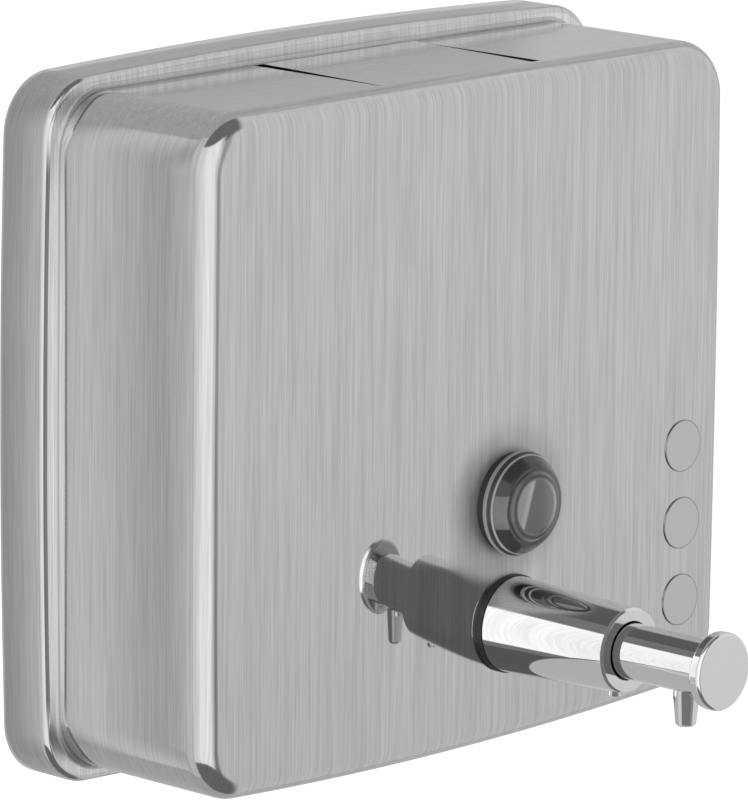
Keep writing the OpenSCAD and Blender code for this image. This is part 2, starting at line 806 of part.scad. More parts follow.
body_shell();
back_panel();
hanger_rail();
wall_plate();
lock_screw();
filler_frame();
filler_lid();
lid_hinge_pin();
sight_lens();
sight_gasket();
sight_washer();
sight_nut();
label_discs();
valve_housing();
valve_gasket();
valve_washer();
valve_nut();
housing_set_screw();
pump_cylinder();
gland_ring();
guide_bush();
plunger_tube();
push_button();
spout();
piston();
piston_seal();
outlet_valve();
return_spring();
inlet_body();
inlet_ball();
suction_tube();
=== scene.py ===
import math

import bpy
from mathutils import Matrix, Vector
from mathutils.geometry import tessellate_polygon


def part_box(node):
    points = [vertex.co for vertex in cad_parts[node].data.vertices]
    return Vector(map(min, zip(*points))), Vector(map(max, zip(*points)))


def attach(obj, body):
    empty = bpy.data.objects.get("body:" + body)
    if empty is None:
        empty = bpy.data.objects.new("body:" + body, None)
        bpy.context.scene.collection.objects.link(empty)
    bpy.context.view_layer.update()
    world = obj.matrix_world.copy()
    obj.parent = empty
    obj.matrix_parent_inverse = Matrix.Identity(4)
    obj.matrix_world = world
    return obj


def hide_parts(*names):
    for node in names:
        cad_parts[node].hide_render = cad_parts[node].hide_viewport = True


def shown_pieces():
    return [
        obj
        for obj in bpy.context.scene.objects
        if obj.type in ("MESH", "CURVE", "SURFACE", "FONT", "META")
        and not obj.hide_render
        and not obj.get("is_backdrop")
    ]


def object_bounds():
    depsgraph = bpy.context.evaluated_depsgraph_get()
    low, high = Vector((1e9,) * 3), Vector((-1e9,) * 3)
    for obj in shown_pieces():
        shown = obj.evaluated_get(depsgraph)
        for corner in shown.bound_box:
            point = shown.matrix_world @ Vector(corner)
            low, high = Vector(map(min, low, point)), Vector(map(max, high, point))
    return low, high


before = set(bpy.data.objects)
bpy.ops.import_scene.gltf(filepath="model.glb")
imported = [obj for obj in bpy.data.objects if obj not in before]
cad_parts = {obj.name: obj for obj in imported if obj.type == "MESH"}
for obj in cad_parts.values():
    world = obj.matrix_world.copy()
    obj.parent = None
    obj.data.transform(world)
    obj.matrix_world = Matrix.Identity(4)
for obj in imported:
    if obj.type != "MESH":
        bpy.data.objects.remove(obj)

cad_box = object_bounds()

# Sizes in metres, in the part's frame: X to the right, Y into the wall, Z up
MM = 0.001
SAME_PLACE = 0.0001 * MM
OUT = Vector((0, -1, 0))
DOWN = Vector((0, 0, -1))
RIGHT = Vector((1, 0, 0))

# The drawn shell: a rim on the wall, a step, and the body with its rounded front
SHELL_LOW, SHELL_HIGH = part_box("body_shell")
RIM_HALF_W = SHELL_HIGH.x
RIM_HALF_H = SHELL_HIGH.z
RIM_DEPTH = 13.2 * MM
RIM_CORNER = 13.5 * MM
RIM_SIDE_BOW = 1.1 * MM
RIM_END_BOW = 1.5 * MM
RIM_EDGE = 1.6 * MM
BODY_DEPTH = -SHELL_LOW.y
BODY_CORNER = 13.5 * MM
BODY_SIDE_BOW = 0.4 * MM
BODY_TOP_BOW = 0.3 * MM
BODY_BOTTOM_BOW = 2.1 * MM
SIDE_STEP = 4.3 * MM
TOP_STEP = 4.4 * MM
BOTTOM_STEP = 2.8 * MM
STEP_FILLET = 1.1 * MM
FRONT_ROUND = 5.4 * MM
SHEET = 1.0 * MM

# Its filler mouth, the hole for the lock screw, and the holes for the window and the valve
MOUTH_HALF_W = 26.1 * MM
MOUTH_REAR = 14.6 * MM
MOUTH_FRONT = 53.1 * MM
LOCK_HOLE_OUT = 5.5 * MM
LOCK_HOLE_R = 2.15 * MM
LOCK_PATCH = 4.0 * MM
FRONT_X = 12.4 * MM
WINDOW_Z = -21.9 * MM
WINDOW_HOLE_R = 7.8 * MM
VALVE_Z = -50.0 * MM
VALVE_HOLE_R = 8.3 * MM

# How finely curves are divided
ARC_STEPS = 16
CORNER_STEPS = 20
EDGE_STEPS = 10
FRONT_STEPS = 18
LATHE_STEPS = 128
HOLE_STEPS = 64

# The shell's finishes, in the order in which it is given them. The step's, the fillet's and the rim edge's
# colours carry painted light and shade.
SIDES_COAT, STEP_COAT, FILLET_COAT, PANEL_COAT, EDGE_COAT = range(5)
EDGE_PAINTED_SHADE_FROM = 0.88


class Skin:
    """Points with their own normals and the faces between them, which become one mesh. New faces get the
    coat that is set, which counts through the finishes that the piece is given."""

    def __init__(self):
        self.points = []
        self.normals = []
        self.faces = []
        self.coat = 0
        self.coats = []

    def row(self, points, normals):
        start = len(self.points)
        self.points.extend(Vector(point) for point in points)
        self.normals.extend(Vector(normal) for normal in normals)
        return list(range(start, len(self.points)))

    def face(self, corners):
        """A face turned the way that its normals point, without corners that lie on each other."""
        kept = []
        for corner in corners:
            if all((self.points[corner] - self.points[other]).length > SAME_PLACE for other in kept):
                kept.append(corner)
        if len(kept) < 3:
            return
        a, b, c = (self.points[corner] for corner in kept[:3])
        facing = sum((self.normals[corner] for corner in kept), Vector())
        if (b - a).cross(c - a).dot(facing) < 0:
            kept.reverse()
        self.faces.append(kept)
        self.coats.append(self.coat)

    def band(self, row_a, row_b, closed=True, skip=None):
        """Faces between two rows of points, but for those from skip[0] to skip[1]."""
        count = len(row_a)
        for i in range(count if closed else count - 1):
            if skip and skip[0] <= i < skip[1]:
                continue
            after = (i + 1) % count
            self.face((row_a[i], row_a[after], row_b[after], row_b[i]))

    def sheet(self, loops, normal):
        """A flat area inside the first loop and outside the others."""
        points = [point for loop in loops for point in loop]
        row = self.row(points, [normal] * len(points))
        for corners in tessellate_polygon(loops):
            self.face([row[corner] for corner in corners])

    def piece(self, name, finishes, body, slot, *nodes):
        """The mesh as a piece that rides on a body and stands for CAD nodes."""
        mesh = bpy.data.meshes.new(name)
        mesh.from_pydata(self.points, [], self.faces, shade_flat=False)
        for finish in finishes:
            mesh.materials.append(finish)
        mesh.polygons.foreach_set("material_index", self.coats)
        mesh.normals_split_custom_set_from_vertices(self.normals)
        obj = bpy.data.objects.new(name, mesh)
        bpy.context.scene.collection.objects.link(obj)
        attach(obj, body)
        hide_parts(*nodes)
        return obj


# Outlines of the shell, seen from the front, as points and outward normals in x and z

def arc(centre, radius, start, end, steps):
    """Points and normals along an arc, without its last one."""
    found = []
    for i in range(steps):
        angle = start + (end - start) * i / steps
        normal = Vector((math.cos(angle), math.sin(angle)))
        found.append((Vector(centre) + radius * normal, normal))
    return found


def bowed_radius(half, bow, corner):
    """Radius of an arc that touches both corner arcs and bows out between them."""
    return corner + (half ** 2 + bow ** 2) / (2 * bow)


def outline(half_w, top, bottom, side_bow, top_bow, bottom_bow, corner):
    """A bowed rectangle from the lower right corner round by the top. The top and the bottom have points
    at the sides of the filler mouth and of the lock screw's patch."""
    corner_x = half_w - corner - side_bow
    top_z = top - corner - top_bow
    bottom_z = corner + bottom_bow - bottom
    middle = (top_z + bottom_z) / 2
    side_r = bowed_radius((top_z - bottom_z) / 2, side_bow, corner)
    top_r = bowed_radius(corner_x, top_bow, corner)
    bottom_r = bowed_radius(corner_x, bottom_bow, corner)
    side_x = half_w - side_r
    side_turn = math.atan2(top_z - middle, corner_x - side_x)
    top_turn = math.atan2(corner_x, top_z - (top - top_r))
    bottom_turn = math.atan2(corner_x, bottom_r - bottom - bottom_z)
    up = math.pi / 2
    mouth = math.asin(MOUTH_HALF_W / top_r)
    patch = math.asin(LOCK_PATCH / bottom_r)
    right = (side_x, middle)
    left = (-side_x, middle)
    above = (0, top - top_r)
    below = (0, bottom_r - bottom)
    stops = [
        (right, side_r, -side_turn, side_turn, ARC_STEPS),
        ((corner_x, top_z), corner, side_turn, up - top_turn, CORNER_STEPS),
        (above, top_r, up - top_turn, up - mouth, ARC_STEPS),
        (above, top_r, up - mouth, up + mouth, ARC_STEPS),
        (above, top_r, up + mouth, up + top_turn, ARC_STEPS),
        ((-corner_x, top_z), corner, up + top_turn, 2 * up - side_turn, CORNER_STEPS),
        (left, side_r, 2 * up - side_turn, 2 * up + side_turn, ARC_STEPS),
        ((-corner_x, bottom_z), corner, 2 * up + side_turn, 3 * up - bottom_turn, CORNER_STEPS),
        (below, bottom_r, 3 * up - bottom_turn, 3 * up - patch, ARC_STEPS),
        (below, bottom_r, 3 * up - patch, 3 * up + patch, 1),
        (below, bottom_r, 3 * up + patch, 3 * up + bottom_turn, ARC_STEPS),
        ((corner_x, bottom_z), corner, 3 * up + bottom_turn, 4 * up - side_turn, CORNER_STEPS),
    ]
    return [found for stop in stops for found in arc(*stop)]


MOUTH_FIRST = 2 * ARC_STEPS + CORNER_STEPS
MOUTH_SPAN = (MOUTH_FIRST, MOUTH_FIRST + ARC_STEPS)
PATCH_FIRST = 6 * ARC_STEPS + 3 * CORNER_STEPS
PATCH_SPAN = (PATCH_FIRST, PATCH_FIRST + 1)

RIM_LINE = outline(
    RIM_HALF_W, RIM_HALF_H, RIM_HALF_H, RIM_SIDE_BOW, RIM_END_BOW, RIM_END_BOW, RIM_CORNER)
BODY_LINE = outline(
    RIM_HALF_W - SIDE_STEP, RIM_HALF_H - TOP_STEP, RIM_HALF_H - BOTTOM_STEP,
    BODY_SIDE_BOW, BODY_TOP_BOW, BODY_BOTTOM_BOW, BODY_CORNER)


def on_outline(line, offset, depth):
    """Points round an outline, moved outwards by an offset, at a depth out from the wall."""
    return [(p.x + offset * n.x, -depth, p.y + offset * n.y) for p, n in line]


def outline_normals(line, outwards, forwards):
    return [(n.x * outwards, -forwards, n.y * outwards) for p, n in line]


def quarter(steps):
    """Sine and cosine from 0 to 90 degrees."""
    turns = [math.pi / 2 * i / steps for i in range(steps + 1)]
    return [(math.sin(turn), math.cos(turn)) for turn in turns]


def circle(centre_x, centre_z, radius, depth, steps):
    turns = [2 * math.pi * i / steps for i in range(steps)]
    return [Vector((centre_x + radius * math.cos(t), -depth, centre_z + radius * math.sin(t))) for t in turns]


# The shell

def shell_side(skin, inset, sign):
    """One face of the drawn sheet, from the wall to the front panel. Sign is 1 outside and -1 inside.
    Gives the rows that the openings' edges and the back edge join."""
    outside = sign > 0
    rim_round = RIM_EDGE - inset
    front_round = FRONT_ROUND - inset
    step_depth = RIM_DEPTH - inset
    plate_depth = BODY_DEPTH - inset

    def row(line, offset, depth, outwards, forwards):
        normals = outline_normals(line, sign * outwards, sign * forwards)
        return skin.row(on_outline(line, offset, depth), normals)

    rows = {}
    rows["back"] = row(RIM_LINE, -inset, 0, 1, 0)
    rows["patch_rear"] = row(RIM_LINE, -inset, LOCK_HOLE_OUT - LOCK_PATCH, 1, 0)
    rows["patch_front"] = row(RIM_LINE, -inset, LOCK_HOLE_OUT + LOCK_PATCH, 1, 0)
    skin.band(rows["back"], rows["patch_rear"])
    skin.band(rows["patch_rear"], rows["patch_front"], skip=PATCH_SPAN)
    last = rows["patch_front"]
    for sine, cosine in quarter(EDGE_STEPS):
        offset = -inset - rim_round * (1 - cosine)
        here = row(RIM_LINE, offset, step_depth - rim_round * (1 - sine), cosine, sine)
        # The outer end of the rim's edge takes the coat with painted shade
        skin.coat = EDGE_COAT if outside and sine > EDGE_PAINTED_SHADE_FROM else SIDES_COAT
        skin.band(last, here)
        last = here
    if outside:
        skin.coat = STEP_COAT
        for sine, cosine in quarter(EDGE_STEPS):
            depth = step_depth + STEP_FILLET * (1 - cosine)
            here = row(BODY_LINE, STEP_FILLET * (1 - sine), depth, sine, cosine)
            skin.band(last, here)
            skin.coat = FILLET_COAT
            last = here
    else:
        here = row(BODY_LINE, -inset, step_depth, 0, 1)
        skin.band(last, here)
        last = row(BODY_LINE, -inset, step_depth, 1, 0)
    skin.coat = SIDES_COAT
    rows["mouth_rear"] = row(BODY_LINE, -inset, MOUTH_REAR, 1, 0)
    rows["mouth_front"] = row(BODY_LINE, -inset, MOUTH_FRONT, 1, 0)
    skin.band(last, rows["mouth_rear"])
    skin.band(rows["mouth_rear"], rows["mouth_front"], skip=MOUTH_SPAN)
    last = rows["mouth_front"]
    for sine, cosine in quarter(FRONT_STEPS):
        offset = -inset - front_round * (1 - cosine)
        here = row(BODY_LINE, offset, plate_depth - front_round * (1 - sine), cosine, sine)
        skin.band(last, here)
        last = here
    edge = [skin.points[i] for i in last]
    rows["holes"] = [
        circle(FRONT_X, VALVE_Z, VALVE_HOLE_R, plate_depth, HOLE_STEPS),
        circle(FRONT_X, WINDOW_Z, WINDOW_HOLE_R, plate_depth, HOLE_STEPS),
    ]
    skin.coat = PANEL_COAT if outside else SIDES_COAT
    skin.sheet([edge] + rows["holes"], (0, -sign, 0))
    skin.coat = SIDES_COAT
    return rows


def edge_between(skin, points_a, points_b, normals, closed=True):
    """The cut edge of the sheet between two lines of points."""
    skin.band(skin.row(points_a, normals), skin.row(points_b, normals), closed)


def lock_hole(skin, height, sign):
    """The patch of the rim's underside round the lock screw's hole."""
    ring, square = [], []
    for i in range(HOLE_STEPS):
        turn = 2 * math.pi * (i + 0.5) / HOLE_STEPS
        x, y = math.cos(turn), math.sin(turn)
        reach = LOCK_PATCH / max(abs(x), abs(y))
        ring.append(Vector((LOCK_HOLE_R * x, LOCK_HOLE_R * y - LOCK_HOLE_OUT, height)))
        square.append(Vector((reach * x, reach * y - LOCK_HOLE_OUT, height)))
    normals = [(0, 0, -sign)] * HOLE_STEPS
    skin.band(skin.row(square, normals), skin.row(ring, normals))
    return ring


def body_shell(*finishes):
    skin = Skin()
    outside = shell_side(skin, 0.0, 1)
    inside = shell_side(skin, SHEET, -1)

    def points(side, name):
        return [skin.points[i] for i in side[name]]

    edge_between(skin, points(outside, "back"), points(inside, "back"), [(0, 1, 0)] * len(RIM_LINE))
    span = slice(MOUTH_SPAN[0], MOUTH_SPAN[1] + 1)
    for name, facing in (("mouth_rear", -1), ("mouth_front", 1)):
        normals = [(0, facing, 0)] * (ARC_STEPS + 1)
        edge_between(skin, points(outside, name)[span], points(inside, name)[span], normals, False)
    for corner, facing in ((MOUTH_SPAN[0], -1), (MOUTH_SPAN[1], 1)):
        outer = [points(outside, name)[corner] for name in ("mouth_rear", "mouth_front")]
        inner = [points(inside, name)[corner] for name in ("mouth_rear", "mouth_front")]
        edge_between(skin, outer, inner, [(facing, 0, 0)] * 2, False)
    for outer, inner, height in zip(outside["holes"], inside["holes"], (VALVE_Z, WINDOW_Z)):
        inwards = [Vector((FRONT_X - p.x, 0, height - p.z)).normalized() for p in outer]
        edge_between(skin, outer, inner, inwards)
    outer = lock_hole(skin, -RIM_HALF_H, 1)
    inner = lock_hole(skin, SHEET - RIM_HALF_H, -1)
    inwards = [Vector((-p.x, -LOCK_HOLE_OUT - p.y, 0)).normalized() for p in outer]
    edge_between(skin, outer, inner, inwards)
    return skin.piece("shell", finishes, "tank", "brushed_steel", "body_shell")


# Turned pieces, from a profile of radius, length along the axis and the rounding of that corner
NEARLY_STRAIGHT = 0.0001
ROUNDED_SHARE = 0.48


def eased(profile):
    """Points of a profile with rounded corners, each with its normal, to the right of the walk."""
    places = [Vector((r, along)) for r, along, rounding in profile]
    ways = [(b - a).normalized() for a, b in zip(places, places[1:])]
    normals = [Vector((way.y, -way.x)) for way in ways]
    found = [(places[0], normals[0])]
    for i in range(1, len(places) - 1):
        rounding = profile[i][2]
        before, after = normals[i - 1], normals[i]
        turn = before.angle(after)
        if rounding == 0 or turn < NEARLY_STRAIGHT:
            found.append((places[i], before))
            found.append((places[i], after))
            continue
        shorter = min((places[i] - places[i - 1]).length, (places[i + 1] - places[i]).length)
        reach = min(rounding * math.tan(turn / 2), ROUNDED_SHARE * shorter)
        radius = reach / math.tan(turn / 2)
        start = places[i] - ways[i - 1] * reach
        outwards = ways[i - 1].cross(ways[i]) > 0
        centre = start - before * radius if outwards else start + before * radius
        for step in range(EDGE_STEPS + 1):
            normal = before.slerp(after, step / EDGE_STEPS)
            found.append((centre + normal * (radius if outwards else -radius), normal))
    found.append((places[-1], normals[-1]))
    return found


def turn_piece(skin, profile, origin, axis, side):
    """Adds a turned form to a skin. Axis and side are unit vectors."""
    other = axis.cross(side)
    turns = [2 * math.pi * i / LATHE_STEPS for i in range(LATHE_STEPS)]
    ways = [math.cos(turn) * side + math.sin(turn) * other for turn in turns]
    last = None
    for place, normal in eased(profile):
        here = skin.row(
            [origin + axis * place.y + way * place.x for way in ways],
            [axis * normal.y + way * normal.x for way in ways])
        if last:
            skin.band(last, here)
        last = here


def front_piece(name, profile, height, finish, body, slot, *nodes):
    """A piece turned about an axis that stands out of the front panel. Lengths start at the panel."""
    skin = Skin()
    turn_piece(skin, profile, Vector((FRONT_X, -BODY_DEPTH, height)), OUT, RIGHT)
    return skin.piece(name, [finish], body, slot, *nodes)


def hanging_piece(name, profile, out, finish, body, slot, *nodes):
    """A piece turned about an axis that points down from the valve's axis. Lengths start there."""
    skin = Skin()
    turn_piece(skin, profile, Vector((FRONT_X, -BODY_DEPTH - out, VALVE_Z)), DOWN, RIGHT)
    return skin.piece(name, [finish], body, slot, *nodes)


# Materials
METAL = 1.0
WHITE_LIGHT = (1.0, 1.0, 1.0, 1.0)
GRAIN_DETAIL = 2.0
GRAIN_ROUGHNESS = 0.5
GRAIN_MIDDLE = 0.5
MOTTLE_DETAIL = 3.0


class Nodes:
    """A node tree, with one method that adds any node to it."""

    def __init__(self, tree):
        self.tree = tree

    def feed(self, socket, value):
        """Links a wire to a socket, or sets the socket's value."""
        if isinstance(value, Wire):
            self.tree.links.new(value.socket, socket)
        else:
            socket.default_value = value

    def add(self, kind, settings=None, sockets=None, output=0):
        """A node with its settings, then its sockets' values or links. Gives one of its outputs, if any."""
        node = self.tree.nodes.new(kind)
        for name, value in (settings or {}).items():
            setattr(node, name, value)
        for name, value in (sockets or {}).items():
            self.feed(node.inputs[name], value)
        return Wire(self, node.outputs[output]) if node.outputs else None

    def part(self, space, axis):
        """One part of a place, a direction or a normal."""
        whole = self.add("ShaderNodeTexCoord", output=space)
        return self.add("ShaderNodeSeparateXYZ", sockets={0: whole}, output=axis)


class Wire:
    """One output in a node tree. Arithmetic on it adds Math nodes."""

    def __init__(self, nodes, socket):
        self.nodes = nodes
        self.socket = socket

    def worked(self, operation, *terms):
        return self.nodes.add("ShaderNodeMath", {"operation": operation}, dict(enumerate(terms)))

    def __add__(self, other):
        return self.worked("ADD", self, other)

    def __radd__(self, other):
        return self.worked("ADD", other, self)

    def __sub__(self, other):
        return self.worked("SUBTRACT", self, other)

    def __rsub__(self, other):
        return self.worked("SUBTRACT", other, self)

    def __mul__(self, other):
        return self.worked("MULTIPLY", self, other)

    def __rmul__(self, other):
        return self.worked("MULTIPLY", other, self)

    def __truediv__(self, other):
        return self.worked("DIVIDE", self, other)

    def size(self):
        return self.worked("ABSOLUTE", self)

    def root(self):
        return self.worked("SQRT", self)

    def bearing(self, ahead):
        """Angle to the right of straight ahead."""
        return self.worked("ARCTAN2", self, ahead)

    def ramp(self, start, end, low=0.0, high=1.0):
        """Goes smoothly from low at start to high at end."""
        return self.nodes.add("ShaderNodeMapRange", {"interpolation_type": "SMOOTHSTEP"}, {
            "Value": self, "From Min": start, "From Max": end, "To Min": low, "To Max": high})


def blend(start, end, share):
    return start + (end - start) * share


class Finish(Nodes):
    """A material with one Principled shader."""

    def __init__(self, name, colour, roughness, metallic=0.0, **sockets):
        self.material = bpy.data.materials.new(name)
        self.material.use_nodes = True
        super().__init__(self.material.node_tree)
        self.shader = self.tree.nodes["Principled BSDF"]
        self.colour = colour
        self.set("Base Color", (*colour, 1.0))
        self.set("Roughness", roughness)
        self.set("Metallic", metallic)
        for socket, value in sockets.items():
            self.set(socket.replace("_", " "), value)

    def set(self, socket, value):
        self.feed(self.shader.inputs[socket], value)

    def grain(self, scale_x, scale_y, scale_z, detail=GRAIN_DETAIL):
        """Noise about 0, from about -0.5 to 0.5, with so many grains in a metre along each axis."""
        place = self.add("ShaderNodeTexCoord", output="Object")
        where = self.add("ShaderNodeVectorMath", {"operation": "MULTIPLY"}, {
            0: place, 1: (scale_x, scale_y, scale_z)})
        return self.add("ShaderNodeTexNoise", sockets={
            "Vector": where, "Scale": 1.0, "Detail": detail,
            "Roughness": GRAIN_ROUGHNESS}) - GRAIN_MIDDLE

    def mottle(self, scale):
        return self.grain(scale, scale, scale, detail=MOTTLE_DETAIL)

    def tint(self, change):
        """Varies the colour by a share of itself."""
        grey = self.add("ShaderNodeCombineXYZ", sockets={0: change, 1: change, 2: change})
        self.set("Base Color", self.add("ShaderNodeVectorMath", {"operation": "MULTIPLY"}, {
            0: grey, 1: self.colour}))

    def bump(self, height, strength, distance):
        self.set("Normal", self.add("ShaderNodeBump", sockets={
            "Height": height, "Strength": strength, "Distance": distance}))


# Ramps are given by where they start and end, and by the values there where those aren't 0 and 1
STEEL_GREY = 0.56
STEEL_ROUGHNESS = 0.1
BRUSH_FINE = 2600
BRUSH_LONG = 45
BROAD_FINE = 500
BROAD_LONG = 12
BRUSH_TURN = (0.6, 0.8)
BRUSH_TINT = 0.55
BROAD_TINT = 0.2
BRUSH_GLOSS = 0.06
# Painted light and shade on the step and its fillet: darker at the sides; along the top the step is painted
# lighter and the fillet stays a little darker
STEP_SIDE_PAINTED_SHADE = 0.85
STEP_TOP = (66.0 * MM, 74.0 * MM)
STEP_DULL = (50.0 * MM, 64.0 * MM, 0.12, 0.40)
STEP_TOP_PAINTED_LIGHT = 1.42
FILLET_TOP_PAINTED_SHADE = 0.95
# Painted shade on the rim's edge: dark along the sides, plain at the top
EDGE_PAINTED_SHADE = (58.0 * MM, 68.0 * MM, 0.25, 1.05)
SWELL_REACH = 66.0 * MM
SWELL_SLOPE = 0.20
WINDOW_DULL = (13.0 * MM, 26.0 * MM, 0.62, 0.03)


def brushed(name):
    """Brushed steel and its brush marks, which run upright on the sides and the front, and from side to side
    on the top."""
    finish = Finish(name, (STEEL_GREY, STEEL_GREY, STEEL_GREY), STEEL_ROUGHNESS, METAL)
    on_top = finish.part("Normal", "Z").size().ramp(*BRUSH_TURN)
    on_side = finish.part("Normal", "X").size().ramp(*BRUSH_TURN)
    front = finish.grain(BRUSH_FINE, BRUSH_LONG, BRUSH_LONG)
    side = finish.grain(BRUSH_LONG, BRUSH_FINE, BRUSH_LONG)
    top = finish.grain(BRUSH_LONG, BRUSH_FINE, BRUSH_FINE)
    streaks = blend(blend(front, side, on_side), top, on_top)
    broad = finish.grain(BROAD_FINE, BROAD_FINE, BROAD_LONG)
    finish.set("Roughness", STEEL_ROUGHNESS + BRUSH_GLOSS * streaks)
    return finish, 1.0 + BRUSH_TINT * streaks + BROAD_TINT * broad


def plain_brushed(name):
    finish, marks = brushed(name)
    finish.tint(marks)
    return finish.material


def step_with_painted_light(name, top_painted_shading):
    """The step between rim and body, duller towards its corners. Its colour carries painted shade at the
    sides and is scaled along the top by the given factor: painted light above 1, painted shade below.
    """
    finish, marks = brushed(name)
    height = finish.part("Object", "Z").size()
    finish.tint(marks * height.ramp(*STEP_TOP, STEP_SIDE_PAINTED_SHADE, top_painted_shading))
    finish.set("Roughness", height.ramp(*STEP_DULL))
    return finish.material


def painted_shade_edge():
    """The last part of the rim's edge, darkened along the sides as painted shade for the dark reflection
    where the edge meets the step.
    """
    finish, marks = brushed("rim_edge")
    finish.tint(marks * finish.part("Object", "Z").size().ramp(*EDGE_PAINTED_SHADE))
    return finish.material


def swelled_panel():
    """The front panel, which swells a little round the valve, so that it mirrors the valve shortened. It is
    dull round the level window."""
    finish, marks = brushed("front_panel")
    finish.tint(marks)
    aside = finish.part("Object", "X") - FRONT_X
    height = finish.part("Object", "Z") - WINDOW_Z
    finish.bump((aside * aside + SWELL_REACH ** 2).root() * -SWELL_SLOPE, 1.0, 1.0)
    apart = (aside * aside + height * height).root()
    finish.set("Roughness", apart.ramp(*WINDOW_DULL))
    return finish.material


def plain_metal(name, colour, roughness, scale, tint, gloss):
    finish = Finish(name, colour, roughness, METAL)
    mottle = finish.mottle(scale)
    finish.tint(1.0 + tint * mottle)
    finish.set("Roughness", roughness + gloss * mottle)
    return finish.material


MOULD_BUMP = 0.3


def moulded(name, colour, roughness, scale, tint, gloss, depth):
    finish = Finish(name, colour, roughness)
    mottle = finish.mottle(scale)
    finish.tint(1.0 + tint * mottle)
    finish.set("Roughness", roughness + gloss * mottle)
    finish.bump(mottle, MOULD_BUMP, depth)
    return finish.material


# The level window's plastic, with places in millimetres from the window's middle. Rings are given by where
# they start, are full, begin to fade and end.
CLEAR_COLOUR = (1.0, 1.0, 1.01)
CLEAR_ROUGHNESS = 0.12
CLEAR_THROUGH = 0.15
CLEAR_BENDING = 1.49
CLEAR_GRAIN = 900
CLEAR_TINT = 0.2
CLEAR_GLOSS = 0.04
FACE_EDGE = (5.9, 6.1, 1.0, 0.0)
SHEEN_SLANT = 0.33
SHEEN_EDGE = (-2.6, -1.6, 1.0, 0.0)
SHEEN_FADE = (-4.5, -2.4, 0.55, 1.0)
FACE_RING = (5.8, 6.2, 6.3, 6.9)
BOSS_RING = (7.2, 7.6, 7.8, 8.2)
CONE_RING = (8.9, 9.1, 11.0, 11.2)
RIM_RING = (11.1, 11.25, 11.35, 11.5)
FLANGE_EDGE = (11.75, 11.95)
GLINT_SIDE = (-8.4, -7.6, 1.0, 0.0)
GLINT_ENDS = (3.6, 4.0, 1.0, 0.0)
GLINT_DROP = 0.3
RIGHT_SIDE = (1.0, 7.0)
# Levels added to the colour: the smoke's own dark tone and lighter face, then painted highlights and
# reflections
SMOKE_LIGHT = 0.07
FACE_LIGHT = 0.10
SHEEN_LIGHT = 0.42
FACE_RING_LIGHT = 0.15
FACE_RING_RIGHT = 0.30
BOSS_RING_LIGHT = 0.16
GLINT_LIGHT = 0.22
RIM_RING_LIGHT = 0.60
FLANGE_LIGHT = 0.45
RIGHT_LIGHT = 0.14


def clear_plastic():
    """Smoky plastic, dark on the cone, with a lighter face and painted highlights and reflections: a sheen on
    the face, bright rings, a glint on the cone, a light flange edge and a lighter right side.
    """
    finish = Finish(
        "clear_plastic", CLEAR_COLOUR, CLEAR_ROUGHNESS, Transmission_Weight=CLEAR_THROUGH, IOR=CLEAR_BENDING)
    aside = (finish.part("Object", "X") - FRONT_X) / MM
    height = (finish.part("Object", "Z") - WINDOW_Z) / MM
    radius = (aside * aside + height * height).root()

    def ring(start, full, fading, end):
        return radius.ramp(start, full) * radius.ramp(fading, end, 1.0, 0.0)

    face = radius.ramp(*FACE_EDGE)
    slanted = aside - SHEEN_SLANT * height
    sheen = face * slanted.ramp(*SHEEN_EDGE) * slanted.ramp(*SHEEN_FADE)
    glint = ring(*CONE_RING) * aside.ramp(*GLINT_SIDE) * (height + GLINT_DROP).size().ramp(*GLINT_ENDS)
    right = aside.ramp(*RIGHT_SIDE)
    # The colour is the smoky tone with painted highlights and reflections added
    light = (SMOKE_LIGHT + FACE_LIGHT * face + SHEEN_LIGHT * sheen
             + ring(*FACE_RING) * (FACE_RING_LIGHT + FACE_RING_RIGHT * right)
             + BOSS_RING_LIGHT * ring(*BOSS_RING) + GLINT_LIGHT * glint + RIM_RING_LIGHT * ring(*RIM_RING)
             + FLANGE_LIGHT * radius.ramp(*FLANGE_EDGE) + RIGHT_LIGHT * right)
    mottle = finish.mottle(CLEAR_GRAIN)
    finish.tint(light * (1.0 + CLEAR_TINT * mottle))
    finish.set("Roughness", CLEAR_ROUGHNESS + CLEAR_GLOSS * mottle)
    return finish.material


STEEL = plain_brushed("brushed_steel")
# The step, painted lighter along its top, and its fillet, painted darker to dim its highlight
STEP = step_with_painted_light("step_steel_painted_light", STEP_TOP_PAINTED_LIGHT)
FILLET = step_with_painted_light("step_fillet", FILLET_TOP_PAINTED_SHADE)
EDGE = painted_shade_edge()
PANEL = swelled_panel()
MILL = plain_metal(
    "mill_steel", (0.5, 0.5, 0.51), roughness=0.32, scale=700, tint=0.12, gloss=0.15)
SCREW = plain_metal(
    "screw_steel", (0.46, 0.46, 0.47), roughness=0.25, scale=1500, tint=0.15, gloss=0.15)
DISC = plain_metal(
    "blank_disc", (0.56, 0.56, 0.56), roughness=0.16, scale=1800, tint=0.06, gloss=0.06)
DISC_EDGE = plain_metal(
    "disc_edge", (0.30, 0.30, 0.30), roughness=0.3, scale=1800, tint=0.06, gloss=0.06)
CHROME = plain_metal(
    "chrome", (0.74, 0.74, 0.75), roughness=0.03, scale=500, tint=0.03, gloss=0.02)
RUBBER = moulded(
    "black_rubber", (0.02, 0.02, 0.02), roughness=0.45, scale=2500, tint=0.4, gloss=0.2, depth=0.05 * MM)
BLACK = moulded(
    "black_plastic", (0.025, 0.025, 0.025), roughness=0.35, scale=2000, tint=0.3, gloss=0.15, depth=0.03 * MM)
WHITE = moulded(
    "white_plastic", (0.78, 0.78, 0.76), roughness=0.4, scale=1500, tint=0.06, gloss=0.12, depth=0.03 * MM)
CLEAR = clear_plastic()

